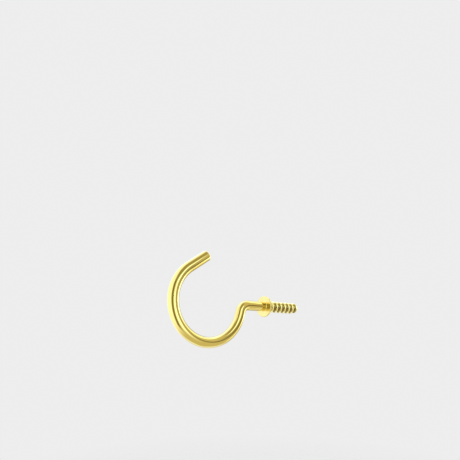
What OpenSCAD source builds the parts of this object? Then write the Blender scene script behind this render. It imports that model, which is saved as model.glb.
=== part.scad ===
// Cup hook: one piece of brass wire with a bent open hook, a round shoulder and a screw.
// The origin is the middle of the shoulder's seat face. The screw runs along +X into the
// wood, the hook stands out along -X, and its bends all lie in the XZ plane.

/* [Wire] */
// Diameter of the wire
wire_d = 2.87; // [2.4:0.01:3.2]
// How much thinner the wire is where it was drawn round a bend
bend_thinning = 0.02; // [0.01:0.01:0.04]
// Radius of the rounded edge at the cut end of the wire
end_edge_r = 0.4; // [0.1:0.05:1]

/* [Hook] */
// Reach, from the seat face to the outside of the bowl
reach = 31.75; // [29:0.25:45]
// Inside diameter of the bowl that the cup's handle hangs in
bowl_inside_d = 18.2; // [12:0.1:20]
// Height of the bowl's centre above the screw's axis
bowl_rise = 0.2; // [-1:0.1:1]
// Radius inside the bend between the shank and the bowl
neck_inside_r = 1.15; // [0.5:0.05:2]
// Straight length between that bend and the bowl
leg_l = 1.15; // [0.2:0.05:3]
// Straight length of the tail past the bowl
tail_l = 6.6; // [2:0.1:9]
// Angle that the tail rises above the screw's axis
tail_rise_deg = 35.4; // [10:0.1:80]

/* [Shoulder] */
// Diameter of the shoulder
shoulder_d = 6.25; // [5:0.05:9]
// Thickness of the shoulder, whose rim is fully rounded
shoulder_t = 0.55; // [0.4:0.05:1.2]
// Length of the plain collar between the shoulder and the thread
collar_l = 0.2; // [0.1:0.05:0.6]
// How far the collar stands proud of the thread's crest
collar_proud = 0.03; // [0.01:0.01:0.1]

/* [Screw] */
// Length of the screw, from the seat face to the tip
screw_l = 15; // [10:0.25:25]
// Diameter over the thread's crest
thread_d = 3.45; // [3.1:0.05:4]
// Diameter at the thread's root
root_d = 2.25; // [1.8:0.05:2.6]
// Pitch of the right-hand thread
pitch = 1.75; // [1.2:0.05:2.2]
// Share of the pitch that the ridge of the thread takes up
ridge_share = 0.8; // [0.5:0.05:0.9]
// Angle about the screw's axis at which the thread leaves the seat face
thread_start_deg = 50; // [0:5:355]
// Length over which the thread runs out
run_out_l = 0.75; // [0.3:0.05:2]
// How far the run-out reaches over the nose
run_out_on_nose = 0.5; // [0.1:0.05:0.5]
// Length of the rounded nose, without its nib
nose_l = 1.3; // [0.6:0.1:2.5]
// Length of the small nib that starts the hole
nib_l = 0.6; // [0.3:0.1:1.5]
// Diameter of the nib where it leaves the nose
nib_d = 0.8; // [0.4:0.05:1.2]

/* [Hidden] */
brass = "#D8BC5C";

// Faces round the wire, and along a full turn of a bend
wire_fn = 64;
bend_fn = 180;
// Faces round the screw
screw_fn = 30;
// Rings along the rounded nose and along its nib
nose_rings = 6;
nib_rings = 4;

wire_r = wire_d / 2;
// Each straight stretch laps over the thinner bends beside it by this much, which is so
// little that the bend stays inside it.
lap = sqrt(bend_thinning * neck_inside_r) / 2;
bowl_r = bowl_inside_d / 2 + wire_r;
neck_r = neck_inside_r + wire_r;

// The neck turns down until a bowl tangent to the leg has its centre at bowl_rise.
centre_gap = norm([bowl_r + neck_r, leg_l]);
neck_turn = acos((neck_r + bowl_rise) / centre_gap) - atan2(leg_l, bowl_r + neck_r);
bowl_turn = 180 + neck_turn - tail_rise_deg;

// The shank takes what the bowl, the leg and the neck leave of the reach.
bowl_depth = bowl_r * (1 + sin(neck_turn)) + wire_r;
shank_l = reach - bowl_depth - leg_l * cos(neck_turn) - neck_r * sin(neck_turn);

crest_r = thread_d / 2;
root_r = root_d / 2;
nib_r = nib_d / 2;
nose_start = screw_l - nib_l - nose_l;
nose_end = nose_start + nose_l;
run_out_end = nose_start + run_out_on_nose;
// The shank and the screw both start inside the shoulder, which joins them into one solid.
shank_start = -shoulder_t * 3 / 4;
screw_start = -shoulder_t / 4;

function clamp01(v) = max(0, min(1, v));

// Height of the thread's ridge, as a share of its full height, at an offset from the crest
// in pitches: a rounded crest that falls away to the root.
function ridge(offset) = 0.5 + 0.5 * cos(180 * min(1, abs(offset) * 2 / ridge_share));

// Offset from the nearest crest, in pitches, at an angle round the screw and a place x along
// it. The crest moves one pitch along +X for each turn from +Y towards +Z.
function crest_offset(angle, x) =
    let (turns = x / pitch - (angle - thread_start_deg) / 360)
    turns - round(turns);

// Width of a round end at a place x, as a share of its width where it starts
function round_end(x, start, length) = sqrt(1 - pow(clamp01((x - start) / length), 2));

function thread_height(x) = (crest_r - root_r) * clamp01((run_out_end - x) / run_out_l);

// Radius of the screw: the ridge on its core, narrowed by the nose, or else the nib
function screw_r(angle, x) =
    let (
        threaded_r = root_r + thread_height(x) * ridge(crest_offset(angle, x)),
        nib_here_r = x < nose_start ? 0 : nib_r * round_end(x, nose_end, nib_l)
    )
    max(nib_here_r, threaded_r * round_end(x, nose_start, nose_l));

// Places of the points along one line of the screw, from its start to its tip. Along the
// thread they follow the helix, so that crest and root are clean lines, and along the nose
// and the nib they form level rings.
ridge_marks = [-1, -0.6, -0.22, 0.22, 0.6, 1];
mark_offsets = concat([-0.5], ridge_marks * ridge_share / 2);
least_gap = 0.03 * pitch;
// The last ring stops this far round the quarter turn that would close the nib.
tip_turn_deg = 80;

function thread_places(angle) = [
    for (turn = [0 : ceil(screw_l / pitch) + 1])
        for (offset = mark_offsets)
            let (x = pitch * (turn - 1 + offset + (angle - thread_start_deg) / 360))
            if (x > screw_start + least_gap && x < run_out_end - least_gap) x
];

nose_places = [
    for (i = [1 : nose_rings - 1])
        let (x = nose_start + nose_l * sin(90 * i / nose_rings))
        if (x > run_out_end + least_gap) x
];

nib_places = [for (i = [0 : nib_rings]) nose_end + nib_l * sin(tip_turn_deg * i / nib_rings)];

function places(angle) =
    concat([screw_start], thread_places(angle), [run_out_end], nose_places, nib_places);

// Triangles between two neighbouring lines of points. Each step goes on along the line whose
// next point lies lower.
function strip(a, b, first_a, first_b) = [
    for (
        i = 0, j = 0, on_a = goes_on_a(a, b, 0, 0);
        i + j < len(a) + len(b) - 2;
        i = on_a ? i + 1 : i,
        j = on_a ? j : j + 1,
        on_a = goes_on_a(a, b, i, j)
    )
        on_a
            ? [first_a + i, first_a + i + 1, first_b + j]
            : [first_a + i, first_b + j + 1, first_b + j]
];

function goes_on_a(a, b, i, j) =
    i < len(a) - 1 && (j == len(b) - 1 || a[i + 1] <= b[j + 1]);

// Running total of the lengths of the lists before each one
function starts(lists) = [for (i = 0, n = 0; i < len(lists); n = n + len(lists[i]), i = i + 1) n];

// A straight stretch of wire along +Z, with what follows it at its end
module straight(length) {
    translate([0, 0, -lap])
        cylinder(h = length + 2 * lap, d = wire_d, $fn = wire_fn);
    translate([0, 0, length]) children();
}

// A bend of the wire from +Z towards +X, with what follows it at its end
module bend(radius, turn) {
    translate([radius, 0, 0]) {
        rotate([90, 0, 180])
            rotate_extrude(angle = turn, $fn = bend_fn)
                translate([radius, 0])
                    circle(d = wire_d - bend_thinning, $fn = wire_fn);
        rotate([0, turn, 0])
            translate([-radius, 0, 0])
                children();
    }
}

// The last stretch of wire, cut square with its edge rounded
module rounded_end(length) {
    translate([0, 0, -lap])
        rotate_extrude($fn = wire_fn) {
            square([wire_r, length + lap - end_edge_r]);
            square([wire_r - end_edge_r, length + lap]);
            translate([wire_r - end_edge_r, length + lap - end_edge_r])
                circle(r = end_edge_r, $fn = wire_fn);
        }
}

module hook() {
    translate([shank_start, 0, 0])
        rotate([0, -90, 0])
        rotate([0, 0, 180])
            straight(shank_l + shank_start)
                bend(neck_r, neck_turn)
                    straight(leg_l)
                        rotate([0, 0, 180])
                            bend(bowl_r, bowl_turn)
                                rounded_end(tail_l);
}

module shoulder() {
    rotate([0, 90, 0])
        rotate_extrude($fn = bend_fn) {
            translate([0, -shoulder_t])
                square([shoulder_d / 2 - shoulder_t / 2, shoulder_t]);
            translate([shoulder_d / 2 - shoulder_t / 2, -shoulder_t / 2])
                circle(d = shoulder_t, $fn = wire_fn);
            square([crest_r + collar_proud, collar_l]);
        }
}

module screw() {
    angles = [for (i = [0 : screw_fn - 1]) 360 * i / screw_fn];
    lines = [for (angle = angles) places(angle)];
    first = starts(lines);
    points = [
        for (i = [0 : screw_fn - 1])
            for (x = lines[i])
                let (r = screw_r(angles[i], x))
                [x, r * cos(angles[i]), r * sin(angles[i])]
    ];
    sides = [
        for (i = [0 : screw_fn - 1])
            let (next = (i + 1) % screw_fn)
            each strip(lines[i], lines[next], first[i], first[next])
    ];
    start_cap = [for (i = [0 : screw_fn - 1]) first[i]];
    tip_cap = [for (i = [screw_fn - 1 : -1 : 0]) first[i] + len(lines[i]) - 1];
    polyhedron(points, concat(sides, [start_cap, tip_cap]));
}

module cup_hook() {
    color(brass) {
        hook();
        shoulder();
        screw();
    }
}

cup_hook();
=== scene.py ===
# %% [markdown]
# A cup hook is one piece of brass wire. Near one end the wire is upset into a thin round shoulder,
# past it the wire is rolled into a wood screw, and the rest is bent into an open hook that holds a
# cup by its handle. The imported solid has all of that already, with plain faces. This lesson gives
# the hook its looks: a fine skin over the same form, polished brass, a pale floor and soft light.

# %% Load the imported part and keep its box
import math

import bpy
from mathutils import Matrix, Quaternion, Vector


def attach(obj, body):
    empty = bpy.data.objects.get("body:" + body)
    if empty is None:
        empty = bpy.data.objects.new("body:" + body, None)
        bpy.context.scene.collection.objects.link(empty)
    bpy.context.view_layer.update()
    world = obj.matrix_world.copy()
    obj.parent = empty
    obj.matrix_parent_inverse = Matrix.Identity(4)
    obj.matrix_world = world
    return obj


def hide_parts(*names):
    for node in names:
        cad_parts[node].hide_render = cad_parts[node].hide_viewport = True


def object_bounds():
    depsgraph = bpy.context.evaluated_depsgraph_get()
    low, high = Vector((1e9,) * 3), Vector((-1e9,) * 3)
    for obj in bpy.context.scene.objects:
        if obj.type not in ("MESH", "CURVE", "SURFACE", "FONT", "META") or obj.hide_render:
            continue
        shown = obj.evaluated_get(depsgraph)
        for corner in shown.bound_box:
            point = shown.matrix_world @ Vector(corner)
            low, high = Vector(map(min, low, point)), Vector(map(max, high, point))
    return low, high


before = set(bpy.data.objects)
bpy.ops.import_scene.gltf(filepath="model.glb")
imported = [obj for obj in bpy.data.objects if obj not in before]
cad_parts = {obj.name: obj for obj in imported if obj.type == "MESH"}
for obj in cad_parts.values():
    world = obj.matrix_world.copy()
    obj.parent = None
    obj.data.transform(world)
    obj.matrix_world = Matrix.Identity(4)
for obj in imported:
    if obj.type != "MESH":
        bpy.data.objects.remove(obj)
packed_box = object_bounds()
MM = 0.001
print("packed part, mm:", [[round(x / MM, 2) for x in corner] for corner in packed_box])

# %% [markdown]
# The frame's origin is the middle of the shoulder's seat face. The screw runs along +X, and the
# hook stands out along -X with its bends in the XZ plane. The sizes below are the drawing's own,
# so the skin lies where the solid does. All lengths in this part of the file are millimetres,
# because that is how a hook is drawn. They become metres when the mesh is made.

# %% Sizes of the wire and its bends
wire_r = 1.435
bend_thinning = 0.01
bowl_r = 9.1 + wire_r
bowl_rise = 0.2
neck_r = 1.15 + wire_r
leg_l = 1.15
tail_l = 6.6
tail_rise = math.radians(35.4)
reach = 31.75
print(f"bowl {2 * (bowl_r - wire_r):.1f} mm across inside, reach {reach} mm")

# %% [markdown]
# Only the reach, the bowl, the leg and the neck are given. The neck must turn down just so far
# that a bowl which leaves the leg smoothly comes to rest at its own height, and the straight shank
# takes what is left of the reach. Working these out, as the drawing does, keeps every joint
# tangent.

# %% How far each bend turns
centre_gap = math.hypot(bowl_r + neck_r, leg_l)
neck_turn = math.acos((neck_r + bowl_rise) / centre_gap) - math.atan2(leg_l, bowl_r + neck_r)
bowl_turn = math.pi + neck_turn - tail_rise
bowl_depth = bowl_r * (1 + math.sin(neck_turn)) + wire_r
shank_l = reach - bowl_depth - leg_l * math.cos(neck_turn) - neck_r * math.sin(neck_turn)
print(f"neck turns {math.degrees(neck_turn):.1f} degrees, bowl {math.degrees(bowl_turn):.1f}")

# %% [markdown]
# A bent wire is a row of straight runs and arcs, each leaving where the last one ended and in the
# same direction. A curve object with a round bevel could follow it, but its rings would be spaced
# by the curve and not by the bend. Here the line is walked by its own length instead: at any
# distance from the shoulder, place() says where the middle of the wire is and which way it heads.

# %% Walk along the wire
runs = [
    (shank_l, 0),
    (neck_r * neck_turn, 1 / neck_r),
    (leg_l, 0),
    (bowl_r * bowl_turn, -1 / bowl_r),
    (tail_l, 0),
]
hook_l = sum(length for length, _ in runs)


def place(distance):
    """Middle of the wire (x, z) and its heading, at a distance from the seat face."""
    x, z, heading = 0.0, 0.0, math.pi
    for length, curl in runs:
        step = min(distance, length)
        turned = heading + curl * step
        if curl:
            x += (math.sin(turned) - math.sin(heading)) / curl
            z += (math.cos(heading) - math.cos(turned)) / curl
        else:
            x += step * math.cos(heading)
            z += step * math.sin(heading)
        heading = turned
        distance -= step
        if distance <= 0:
            break
    return x, z, heading


print(f"wire from the seat to its cut end: {hook_l:.2f} mm")
print("cut end at x, z:", [round(v, 2) for v in place(hook_l)[:2]])

# %% [markdown]
# The skin is a stack of rings with the same number of points, from the cut end of the wire to the
# tip of the screw, with four-sided faces between neighbours. It is watertight by its making, it
# has no seam where the bends meet the straight runs, and a point keeps its place round the wire
# all the way, which the finish uses later. Each ring also notes how far along the wire it is, how
# much of it was pressed flat, and how high on the thread's ridge each of its points is.

# %% Rings
AROUND = 96
angles = [2 * math.pi * i / AROUND for i in range(AROUND)]
rings = []


def add_ring(centre, tangent, radii, along, pressed=0.0, ridge=None, groove=None):
    """One ring of the skin, with a radius for each point."""
    side = Vector((0, 1, 0))
    up = tangent.cross(side)
    spokes = [side * math.cos(a) + up * math.sin(a) for a in angles]
    none = [0.0] * AROUND
    rings.append(
        {
            "points": [centre + spoke * r for spoke, r in zip(spokes, radii)],
            "unbent": [(r * math.cos(a), r * math.sin(a), along) for a, r in zip(angles, radii)],
            "pressed": [pressed] * AROUND,
            "ridge": ridge or none,
            "groove": groove or none,
        }
    )


def ring_on_wire(distance, radius, pressed=0.0):
    """A round ring square to the wire, at a distance from the seat face."""
    x, z, heading = place(distance)
    tangent = Vector((-math.cos(heading), 0, -math.sin(heading)))
    add_ring(Vector((x, 0, z)), tangent, [radius] * AROUND, -distance, pressed)


def ring_on_axis(x, radius, pressed=0.0):
    """A round ring square to the screw's axis."""
    add_ring(Vector((x, 0, 0)), Vector((1, 0, 0)), [radius] * AROUND, x, pressed)


print(AROUND, "points in each ring")

# %% [markdown]
# The free end of a cup hook is cut square, and tumbling the hooks takes the burr off, so the end
# is a flat disc with a rounded edge. A few rings make the disc and a quarter circle makes the
# edge.

# %% The cut end
skin_r = wire_r - bend_thinning
end_edge_r = 0.4
disc_rings = 6
edge_rings = 10

flat_r = skin_r - end_edge_r
for i in range(1, disc_rings):
    ring_on_wire(hook_l, flat_r * i / disc_rings, pressed=1.0)
for i in range(edge_rings + 1):
    turn = math.pi / 2 * i / edge_rings
    inward = end_edge_r * (1 - math.cos(turn))
    ring_on_wire(hook_l - inward, flat_r + end_edge_r * math.sin(turn), 1 - i / edge_rings)
print(len(rings), "rings on the cut end")

# %% [markdown]
# The wire itself keeps one thickness from the tail to the shoulder. Its rings are spaced closely
# enough that the light bands on the tight neck bend stay smooth.

# %% The wire
ring_step = 0.25
shoulder_t = 0.55
root_fillet_r = 0.12

wire_from = hook_l - end_edge_r
wire_to = shoulder_t + root_fillet_r
wire_rings = math.ceil((wire_from - wire_to) / ring_step)
for i in range(1, wire_rings + 1):
    ring_on_wire(wire_from + (wire_to - wire_from) * i / wire_rings, skin_r)
print(wire_rings, "rings on the wire")

# %% [markdown]
# Everything about the shoulder is turned about one axis, so it is drawn as a profile of points (x,
# r) made from arcs and straight lines. Two small helpers give those points.

# %% Helpers for a turned profile
arc_rings = 8


def arc(mid_x, mid_r, size, start, end):
    """Points on an arc, with its angles in degrees from +X towards +r."""
    turns = [math.radians(start + (end - start) * i / arc_rings) for i in range(arc_rings + 1)]
    return [(mid_x + size * math.cos(t), mid_r + size * math.sin(t)) for t in turns]


def line(start, end, count):
    """Points between two points, without the ends."""
    return [
        tuple(a + (b - a) * i / count for a, b in zip(start, end)) for i in range(1, count)
    ]


print(len(arc(0, 0, 1, 0, 90)), "points in an arc")

# %% [markdown]
# The shoulder is pressed out of the wire in a die. It is a thin disc with rounded edges, and a
# small fillet where the wire runs into it. Its rim is seen as one dark line beside the thread, so
# it has a narrow land between its two edges.

# %% The shoulder
shoulder_r = 3.124
rim_edge_r = 0.17
face_rings = 8

front = -shoulder_t
rim_mid_r = shoulder_r - rim_edge_r
root_fillet = arc(front - root_fillet_r, skin_r + root_fillet_r, root_fillet_r, 270, 360)
rim = arc(front + rim_edge_r, rim_mid_r, rim_edge_r, 180, 90)
rim += line(rim[-1], (-rim_edge_r, shoulder_r), 3)
rim += arc(-rim_edge_r, rim_mid_r, rim_edge_r, 90, 0)

for x, r in root_fillet[1:]:
    ring_on_axis(x, r)
for x, r in line(root_fillet[-1], rim[0], face_rings):
    ring_on_axis(x, r, pressed=1.0)
for x, r in rim:
    ring_on_axis(x, r)
print(f"shoulder {2 * shoulder_r:.2f} mm across, {shoulder_t} mm thick")

# %% [markdown]
# The back of the shoulder is the seat, which the wood stops. It is flat, and a short plain collar
# is left between it and the thread, because the rolling dies can't reach right up to the shoulder.

# %% The seat face and the collar
collar_r = 1.75
collar_l = 0.2
small_r = 0.04

seat_fillet = arc(small_r, collar_r + small_r, small_r, 180, 270)
collar_edge = arc(collar_l - small_r, collar_r - small_r, small_r, 90, 0)
for x, r in line(rim[-1], seat_fillet[0], face_rings):
    ring_on_axis(x, r, pressed=1.0)
for x, r in seat_fillet + collar_edge:
    ring_on_axis(x, r)
print(f"collar {2 * collar_r:.2f} mm across, {len(rings)} rings so far")

# %% [markdown]
# The thread is rolled, not cut: the dies press a groove and the metal swells into a rounded ridge
# beside it. So the ridge is a smooth wave about the screw, one pitch further on for each turn.
# This cell gives the height of that wave at any angle round the screw and any place along it.

# %% The rolled ridge
pitch = 1.77
ridge_width = 0.8 * pitch
thread_start = 110 / 360


def clamp01(v):
    return max(0.0, min(1.0, v))


def ridge_height(angle, x):
    """Height of the rolled ridge at a point, from 0 in the groove to 1 on the crest."""
    turns = x / pitch - angle / (2 * math.pi) + thread_start
    offset = abs(turns - round(turns)) * pitch
    return 0.5 + 0.5 * math.cos(math.pi * min(1, 2 * offset / ridge_width))


print("ridge heights along one pitch:", [round(ridge_height(0, x / 4), 2) for x in range(8)])

# %% [markdown]
# The end of the wire is rounded into a nose, over which the wave dies away, and a small nib sticks
# out of the nose to start the hole in the wood. Nose and nib are both bodies of the same kind, so
# one function makes them, and the wider one wins at each place with a soft change between them.

# %% Nose and nib
screw_l = 15
nose_l = 1.25
nib_l = 0.75
nib_r = 0.28
nose_start = screw_l - nib_l - nose_l
nose_end = nose_start + nose_l


def round_end(x, start, length, fullness):
    """Width of a round end at x, as a share of the width where it starts."""
    return (1 - clamp01((x - start) / length) ** fullness) ** (1 / fullness)


def wider(a, b, sharpness=16):
    return (a**sharpness + b**sharpness) ** (1 / sharpness)


print(f"nose from x = {nose_start} to {nose_end}, nib to {screw_l}")

# %% [markdown]
# With the wave, the nose and the nib, the radius of the screw is known everywhere. Rings at small
# equal steps carry it along the thread, and rings that crowd towards the ends close the two round
# bodies. The rings note ridge and groove, which the finish uses for a painted highlight on the
# crest and painted shade in the groove.

# %% Rings of the screw
crest_r = 1.725
root_r = 1.125
run_out_l = 0.75
run_out_end = nose_start + 0.5
nose_fullness, nib_fullness = 1.8, 2
thread_from = collar_l + 0.005
thread_step = 0.05
nose_rings = 24
nib_rings = 14


def screw_ring(x):
    fade = clamp01((run_out_end - x) / run_out_l)
    heights = [ridge_height(a, x) for a in angles]
    nose = round_end(x, nose_start, nose_l, nose_fullness)
    nib = nib_r * round_end(x, nose_end, nib_l, nib_fullness) if x > nose_start else 0.0
    radii = [wider((root_r + (crest_r - root_r) * fade * h) * nose, nib) for h in heights]
    ridge = [fade * h for h in heights]
    groove = [fade * (1 - h) for h in heights]
    add_ring(Vector((x, 0, 0)), Vector((1, 0, 0)), radii, x, 0.0, ridge, groove)


thread_rings = round((nose_start - collar_l) / thread_step)
for i in range(thread_rings):
    screw_ring(thread_from + (nose_start - collar_l) * i / thread_rings)
for i in range(nose_rings):
    screw_ring(nose_start + nose_l * math.sin(math.pi / 2 * i / nose_rings))
for i in range(nib_rings):
    screw_ring(nose_end + nib_l * math.sin(math.pi / 2 * i / nib_rings))
print(f"{thread_rings + nose_rings + nib_rings} rings on the screw, {len(rings)} in all")

# %% [markdown]
# Now the rings are joined. Bands of four-sided faces run between neighbours, and two fans of
# triangles close the cut end and the tip.

# %% Join the rings into one skin
x, z, _ = place(hook_l)
points = [Vector((x, 0, z))]
for ring in rings:
    points += ring["points"]
points.append(Vector((screw_l, 0, 0)))

tip = len(points) - 1
first = [1 + k * AROUND for k in range(len(rings))]
faces = []
for i in range(AROUND):
    j = (i + 1) % AROUND
    faces.append((0, first[0] + j, first[0] + i))
    for here, ahead in zip(first, first[1:]):
        faces.append((here + i, here + j, ahead + j, ahead + i))
    faces.append((first[-1] + i, first[-1] + j, tip))

mesh = bpy.data.meshes.new("brass_hook")
mesh.from_pydata([p * MM for p in points], [], faces)
mesh.validate()
mesh.shade_smooth()
hook = bpy.data.objects.new("brass_hook", mesh)
bpy.context.scene.collection.objects.link(hook)
print(len(mesh.vertices), "points,", len(mesh.polygons), "faces")

# %% [markdown]
# Wire is drawn first and bent later, so the fine lines that the drawing die leaves run along it
# through every bend. To let the finish do the same, each point keeps where it would be if the hook
# had never been bent, and a pattern is laid out on that straight wire. The pressed faces, the
# ridge and the groove go along with it as plain numbers.

# %% Store the straight wire and the masks on the mesh
ends = {"unbent": [(0, 0, -hook_l), (0, 0, screw_l)], "pressed": [1.0, 0.0]}
for name in ("unbent", "pressed", "ridge", "groove"):
    start, stop = ends.get(name, [0.0, 0.0])
    values = [start] + [v for ring in rings for v in ring[name]] + [stop]
    if name == "unbent":
        stored = mesh.attributes.new(name, "FLOAT_VECTOR", "POINT")
        stored.data.foreach_set("vector", [c for v in values for c in v])
    else:
        stored = mesh.attributes.new(name, "FLOAT", "POINT")
        stored.data.foreach_set("value", values)
print([a.name for a in mesh.attributes if not a.name.startswith(".")])

# %% [markdown]
# When the finish is baked into a picture for other programs, the skin has to be laid flat. A wire
# peels off as one long narrow strip, which would waste a square picture. Cut into three and laid
# side by side, it fills the square, and a millimetre is as large along the wire as it is round it.

# %% Lay the skin flat
STRIPS = 3
end_margin, side_margin = 0.01, 0.02
travel = [0.0]
previous = points[0]
for k in range(len(rings)):
    ring_point = points[first[k]]
    travel.append(travel[-1] + (ring_point - previous).length)
    previous = ring_point
travel.append(travel[-1] + (points[tip] - previous).length)
strip_l = travel[-1] / STRIPS


def flat(strip, distance, i):
    """Place in the flat picture of a point i steps round, at a distance over the skin."""
    along = (distance - strip * strip_l) / strip_l
    across = side_margin + (1 - 2 * side_margin) * i / AROUND
    return end_margin + (1 - 2 * end_margin) * along, (strip + across) / STRIPS


spots = []
for i in range(AROUND):
    for band in range(len(rings) + 1):
        near, far = travel[band], travel[band + 1]
        strip = min(int((near + far) / 2 / strip_l), STRIPS - 1)
        if band == 0:
            spots += [flat(strip, near, i + 0.5), flat(strip, far, i + 1), flat(strip, far, i)]
        elif band == len(rings):
            spots += [flat(strip, near, i), flat(strip, near, i + 1), flat(strip, far, i + 0.5)]
        else:
            spots += [flat(strip, near, i), flat(strip, near, i + 1)]
            spots += [flat(strip, far, i + 1), flat(strip, far, i)]
flat_map = mesh.uv_layers.new(name="OFBake")
flat_map.data.foreach_set("uv", [c for spot in spots for c in spot])
print(f"{travel[-1]:.1f} mm of skin in {STRIPS} strips of {strip_l:.1f} mm")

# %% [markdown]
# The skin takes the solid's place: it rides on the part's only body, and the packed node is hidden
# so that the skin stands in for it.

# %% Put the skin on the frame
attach(hook, "root")
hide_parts("cup_hook")
print("brass_hook rides on root and replaces cup_hook")

# %% [markdown]
# Polished brass is a mirror with a yellow tint, so nearly all of its look is what it reflects.
# What makes it real is how that mirror is spoilt. The next cells make each fault from noise and
# from the numbers kept on the skin, and they also paint a highlight on the thread's crest and shade
# in its groove. First come a few helpers that add nodes to the material being made.

# %% Helpers for materials
def new_material(name):
    made = bpy.data.materials.new(name)
    made.use_nodes = True
    return made, made.node_tree


brass, tree = new_material("polished_brass")
shader = tree.nodes["Principled BSDF"]


def add(kind, inputs=None, **settings):
    """Adds a shader node. inputs gives its sockets a number, a tuple or another node's output."""
    made = tree.nodes.new("ShaderNode" + kind)
    for name, value in settings.items():
        setattr(made, name, value)
    for socket, value in (inputs or {}).items():
        if isinstance(value, bpy.types.NodeSocket):
            tree.links.new(value, made.inputs[socket])
        else:
            made.inputs[socket].default_value = value
    return made


def kept(name, output="Fac"):
    return add("Attribute", attribute_name=name).outputs[output]


def combine(operation, a, b):
    return add("Math", {0: a, 1: b}, operation=operation).outputs[0]


print("material", brass.name)

# %% [markdown]
# Two more helpers shape a fault. stretched_noise() lays noise on the straight wire, with its own
# grain along and across. spread() picks a part of the values and maps it onto the wanted strength.

# %% Helpers for patterns
def stretched_noise(cells, detail=3.0):
    """Noise on the straight wire. cells is how many cells there are to a millimetre."""
    scaled = add("VectorMath", {0: kept("unbent", "Vector"), 1: cells}, operation="MULTIPLY")
    noise = add("TexNoise", {"Vector": scaled.outputs[0], "Scale": 1.0, "Detail": detail})
    return noise.outputs["Fac"]


def spread(value, low, high, new_low, new_high):
    """Maps the stretch from low to high onto another, and stops there."""
    ends = {"From Min": low, "From Max": high, "To Min": new_low, "To Max": new_high}
    return add("MapRange", {"Value": value, **ends}).outputs["Result"]


def tint(share, a, b):
    """A colour between a and b."""
    return add("Mix", {0: share, 6: a, 7: b}, data_type="RGBA").outputs[2]


print(len(tree.nodes), "nodes to begin with")

# %% [markdown]
# Brass for hooks is about two thirds copper, which gives a clear yellow. Its tone wanders a little
# from place to place where the thin lacquer is thicker. The crest of the thread is painted lighter,
# as a painted highlight, and the bottom of the groove is painted dark brown, as painted shade with
# a little noise in it. That painted shade is strongest on the screw's lower side and fades out
# towards its upper side.

# %% Colour of the brass, with painted highlight and shade
light_brass = (0.87, 0.71, 0.25, 1)
deep_brass = (0.84, 0.66, 0.22, 1)
# Painted highlight: this crest colour stands in for light caught by the thread's crest.
painted_crest_highlight = (0.99, 0.87, 0.38, 1)
# Painted shade: this brown stands in for shade in the thread's groove, and also colours the nicks.
shade_and_nick_brown = (0.16, 0.085, 0.015, 1)

cloud = spread(stretched_noise((0.5, 0.5, 0.12)), 0.35, 0.65, 0, 1)
# The ridge mask lays the painted highlight on the crest.
crest_highlight_share = spread(kept("ridge"), 0.4, 0.8, 0, 1)
brass_with_crest_highlight = tint(crest_highlight_share, tint(cloud, light_brass, deep_brass), painted_crest_highlight)

# Painted shade in the groove, with noise in it, strongest on the screw's lower side.
groove_shade_noise = spread(stretched_noise((2.5, 2.5, 2.5)), 0.3, 0.7, 0.85, 1)
above = add("SeparateXYZ", {0: kept("unbent", "Vector")}).outputs["Y"]
shade_on_lower_side = spread(above, -0.3, 0.8, 1, 0)
groove_shade = combine("MULTIPLY", spread(kept("groove"), 0.2, 0.65, 0, 0.95), groove_shade_noise)
groove_shade = combine("MULTIPLY", groove_shade, shade_on_lower_side)
shader.inputs["Metallic"].default_value = 1.0
print(len(tree.nodes), "nodes after the colour")

# %% [markdown]
# A hook is bent after it has been polished, and the pin that it is bent round leaves a nick or two
# on the outside of the bowl. The photograph shows two dark specks there. Each is a small spot at
# its own place on the straight wire, longer across the wire than along it.

# %% Two nicks from the bending pin
nick_places = [(41.95, -156), (40.13, 165)]
nick_r = 0.16
nick_stain = 0.75
nicks = 0.0
for distance, degrees in nick_places:
    a = math.radians(degrees)
    middle = (skin_r * math.cos(a), skin_r * math.sin(a), -distance)
    away = add("VectorMath", {0: kept("unbent", "Vector"), 1: middle}, operation="DISTANCE")
    spot = spread(away.outputs["Value"], 0.5 * nick_r, nick_r, 1, 0)
    nicks = combine("MAXIMUM", nicks, spot)
# The base colour turns brown where the groove's painted shade and the nicks lie.
groove_shade_and_nicks = combine("MAXIMUM", groove_shade, combine("MULTIPLY", nicks, nick_stain))
tree.links.new(tint(groove_shade_and_nicks, brass_with_crest_highlight, shade_and_nick_brown), shader.inputs["Base Color"])
print(len(nick_places), "nicks,", len(tree.nodes), "nodes")

# %% [markdown]
# The gloss has streaks along the wire, from drawing and from handling. It is lower on the pressed
# faces of the shoulder, which the die left finely matt, and lowest where the groove's painted shade
# and the nicks lie.

# %% Gloss of the brass
clearest, cloudiest = 0.06, 0.12
dulled_in_groove, dulled_by_die = 0.25, 0.1

streaks = stretched_noise((3.0, 3.0, 0.06))
roughness = spread(streaks, 0.3, 0.7, clearest, cloudiest)
roughness = combine("ADD", roughness, combine("MULTIPLY", groove_shade_and_nicks, dulled_in_groove))
roughness = combine("ADD", roughness, combine("MULTIPLY", kept("pressed"), dulled_by_die))
tree.links.new(roughness, shader.inputs["Roughness"])
print(len(tree.nodes), "nodes after the gloss")

# %% [markdown]
# Up close, drawn wire has hair lines along it, and pressed faces carry the fine turning rings of
# the die. Both are far too small to model, so they only tilt the light a little as a bump. The
# rings come from noise over the distance from the wire's middle line.

# %% Fine relief
relief_depth = 0.004 * MM
nick_depth = 4.0

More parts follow.
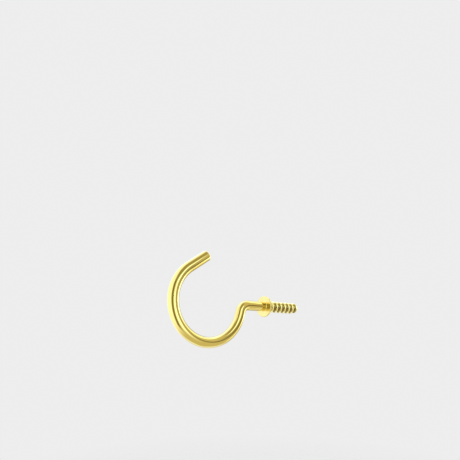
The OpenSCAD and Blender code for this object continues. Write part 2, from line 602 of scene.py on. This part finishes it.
hair_lines = combine("ADD", stretched_noise((13.0, 13.0, 0.12), 2.0), streaks)
across = add("VectorMath", {0: kept("unbent", "Vector"), 1: (1, 1, 0)}, operation="MULTIPLY")
from_middle = add("VectorMath", {0: across.outputs[0]}, operation="LENGTH").outputs["Value"]
die_rings = add("TexNoise", {"W": from_middle, "Scale": 9.0}, noise_dimensions="1D")
relief_parts = {"Factor": kept("pressed"), 2: hair_lines, 3: die_rings.outputs["Fac"]}
relief = add("Mix", relief_parts, data_type="FLOAT").outputs[0]
relief = combine("SUBTRACT", relief, combine("MULTIPLY", nicks, nick_depth))
bump = add("Bump", {"Height": relief, "Strength": 1.0, "Distance": relief_depth})
tree.links.new(bump.outputs["Normal"], shader.inputs["Normal"])
mesh.materials.append(brass)
print(len(tree.nodes), "nodes in the brass")

# %% [markdown]
# The hook is made to be screwed under a shelf, so it can't stand on a floor, and here it hangs
# free above one. The floor is a pale round sheet whose edge fades out, so that it meets the pale
# background without a line.

# %% Floor
floor_z = -280 * MM
floor_r = 1.0
fade_from, fade_to = 0.25, 0.8
pale_grey = (0.88, 0.88, 0.88, 1)

bpy.ops.mesh.primitive_circle_add(
    vertices=96, radius=floor_r, fill_type="NGON", location=(0, 0, floor_z)
)
floor = bpy.context.object
floor.name = "floor"

floor_paint, tree = new_material("floor_paint")
paint = tree.nodes["Principled BSDF"]
paint.inputs["Base Color"].default_value = pale_grey
paint.inputs["Roughness"].default_value = 0.8
out = add("VectorMath", {0: add("TexCoord").outputs["Object"]}, operation="LENGTH")
tree.links.new(spread(out.outputs["Value"], fade_from, fade_to, 1, 0), paint.inputs["Alpha"])
floor.data.materials.append(floor_paint)
print(f"floor {floor_z / MM:.0f} mm below the hook's seat")

# %% [markdown]
# Metal is lit by what stands round it. A photographer hangs a white tent about such a small shiny
# thing and then puts cards into it, because the dark lines that show a wire's roundness are
# reflections of dark cards. The lines on this hook are deep gold and not grey, so its dark cards
# are brown. The tent is only 14 cm across: from so near, each part of the hook sees a card in a
# place of its own, and so the dark lines wander over the wire on their way round the bowl. A card
# here is a stretch of the tent with soft edges, given by its bearing and its height in degrees.
# Bearing 0 is the side that the hook's flank faces, and 90 is beyond the screw's tip.

# %% Cards in the light tent
TENT_R = 0.07
cloth = (0.70, 0.66, 0.45)
brown, deep_brown = (0.36, 0.34, 0.16), (0.25, 0.22, 0.05)
# Each card: bearing of its middle, half its width, lowest and highest height, soft edge, tone.
# Pale ones come first, then the dark ones, then the bright ones that make the pale rims. The last
# is a dark one behind the hook, so that its other side has lines too.
cards = [
    (-108, 53, -44, 78, 37, (1.35, 1.43, 1.60)),
    (162, 68, 25, 90, 24, (1.35, 1.55, 2.20)),
    (70, 10, -43, 80, 10, (1.68, 1.93, 1.65)),
    (-12, 19, -27, 20, 28, (1.58, 1.83, 2.03)),
    (-6, 17, 18, 41, 5, (1.56, 1.82, 2.12)),
    (14, 8, 2, 25, 11, (0.34, 0.33, 0.10)),
    (-53, 15, -39, 35, 12, deep_brown),
    (-37, 27, 32, 55, 17, (0.24, 0.25, 0.08)),
    (-34, 39, 40, 76, 23, (0.42, 0.38, 0.19)),
    (37, 17, -10, 4, 21, (0.07, 0.03, 0.01)),
    (88, 18, -10, 20, 16, (1.90, 2.20, 3.60)),
    (-166, 27, -29, 25, 17, (1.15, 1.30, 1.70)),
    (163, 80, -80, -46, 17, (1.04, 1.13, 1.36)),
    (63, 6, -55, -15, 7, (0.76, 0.68, 0.66)),
    (135, 14, -26, 30, 12, brown),
]
print(len(cards), "cards")

# %% [markdown]
# The tone at a place in the tent starts as that of the bare cloth. Each card in turn pulls it
# towards its own tone, as far as the card covers the place.

# %% Tone of the tent at any place
def cover(value, low, high, soft_edge):
    """How much of a card with soft edges covers a place, from 0 to 1."""
    t = clamp01(0.5 + min(value - low, high - value) / soft_edge)
    return t * t * (3 - 2 * t)


def tent_tone(bearing, height):
    tone = cloth
    for middle, half, low, high, soft_edge, card_tone in cards:
        away = (bearing - middle + 180) % 360 - 180
        share = cover(away, -half, half, soft_edge) * cover(height, low, high, soft_edge)
        tone = [a + (b - a) * share for a, b in zip(tone, card_tone)]
    return tone


def direction(bearing, height):
    """The way to a place round the hook. Bearing 0 is towards -Y and 90 towards +X."""
    b, h = math.radians(bearing), math.radians(height)
    return Vector((math.sin(b) * math.cos(h), -math.cos(b) * math.cos(h), math.sin(h)))


print("tone in front of the hook:", [round(c, 2) for c in tent_tone(0, 0)])

# %% [markdown]
# The tent is a sphere round the hook whose points carry their tones. Cards could be separate
# glowing planes, but planes have hard edges and cast light where it isn't wanted. The sphere is
# seen only by reflections: the camera, plain light and shadows pass through it.

# %% Make the tent
hook_middle = (packed_box[0] + packed_box[1]) / 2
tent_step = 3
rows = range(-90, 91, tent_step)
columns = range(0, 360, tent_step)
places = [(b, h) for h in rows for b in columns]
wide = len(columns)
tent_faces = [
    (r * wide + c, r * wide + (c + 1) % wide, (r + 1) * wide + (c + 1) % wide, (r + 1) * wide + c)
    for r in range(len(rows) - 1)
    for c in range(wide)
]
tent_mesh = bpy.data.meshes.new("light_tent")
tent_mesh.from_pydata([hook_middle + TENT_R * direction(b, h) for b, h in places], [], tent_faces)
tones = tent_mesh.attributes.new("tone", "FLOAT_VECTOR", "POINT")
tones.data.foreach_set("vector", [c for b, h in places for c in tent_tone(b, h)])
tent = bpy.data.objects.new("light_tent", tent_mesh)
bpy.context.scene.collection.objects.link(tent)
tent.visible_camera = tent.visible_diffuse = tent.visible_shadow = False

tent_cloth, tree = new_material("tent_cloth")
tree.nodes.remove(tree.nodes["Principled BSDF"])
glow = add("Emission", {"Color": kept("tone", "Vector"), "Strength": 1.0})
tree.links.new(glow.outputs[0], tree.nodes["Material Output"].inputs["Surface"])
tent_mesh.materials.append(tent_cloth)
print(len(tent_faces), "faces in the tent")

# %% [markdown]
# The room outside the tent is one even pale grey. It is the background, it fills the shadows on
# the floor, and it is what the floor's edge fades into.

# %% World
background_grey = 0.85
world = bpy.data.worlds.new("pale_room")
bpy.context.scene.world = world
world.use_nodes = True
backdrop = world.node_tree.nodes["Background"]
backdrop.inputs["Color"].default_value = (background_grey, background_grey, background_grey, 1)
backdrop.inputs["Strength"].default_value = 1.0
print("background", background_grey)

# %% [markdown]
# One soft box stands high on the left behind the hook. It gives the floor its soft shadow and the
# brass a clean highlight. A lamp of a given tone needs more power the larger it is, so its power
# is worked out from its tone and its size.

# %% Key lamp
lamp_size = 0.2
lamp_tone = 1.5
lamp_distance = 0.4
lamp_bearing, lamp_height = -125, 58

lamp_data = bpy.data.lights.new("soft_box", "AREA")
lamp_data.size = lamp_size
lamp_data.energy = lamp_tone * math.pi * lamp_size**2
soft_box = bpy.data.objects.new("soft_box", lamp_data)
bpy.context.scene.collection.objects.link(soft_box)
soft_box.location = hook_middle + lamp_distance * direction(lamp_bearing, lamp_height)
soft_box.rotation_mode = "QUATERNION"
soft_box.rotation_quaternion = (hook_middle - soft_box.location).to_track_quat("-Z", "Y")
soft_box.visible_camera = False
print(f"soft box of {lamp_data.energy:.2f} W")

# %% [markdown]
# The camera stands a little below the hook and looks at it past the free end. It is very close, as
# the strong narrowing towards the screw shows. It is aimed at the hook itself, and the hook lies
# low in the picture, so the picture is shifted up by that much and the camera isn't tilted.

# %% Camera
camera_bearing, camera_height, camera_roll = -37.370, -7.052, -0.583
camera_distance = 83.414 * MM
aim = Vector((-13.074, 0, 1.307)) * MM

camera_data = bpy.data.cameras.new("camera")
camera_data.lens = 23.685
camera_data.shift_y = 0.1509
camera_data.clip_start = 0.005
camera = bpy.data.objects.new("camera", camera_data)
bpy.context.scene.collection.objects.link(camera)
back = direction(camera_bearing, camera_height)
camera.location = aim + camera_distance * back
camera.rotation_mode = "QUATERNION"
level = (-back).to_track_quat("-Z", "Y")
camera.rotation_quaternion = level @ Quaternion((0, 0, 1), math.radians(camera_roll))
bpy.context.scene.camera = camera
bpy.context.scene.view_settings.view_transform = "Standard"
print("camera at, mm:", [round(v / MM, 1) for v in camera.location])
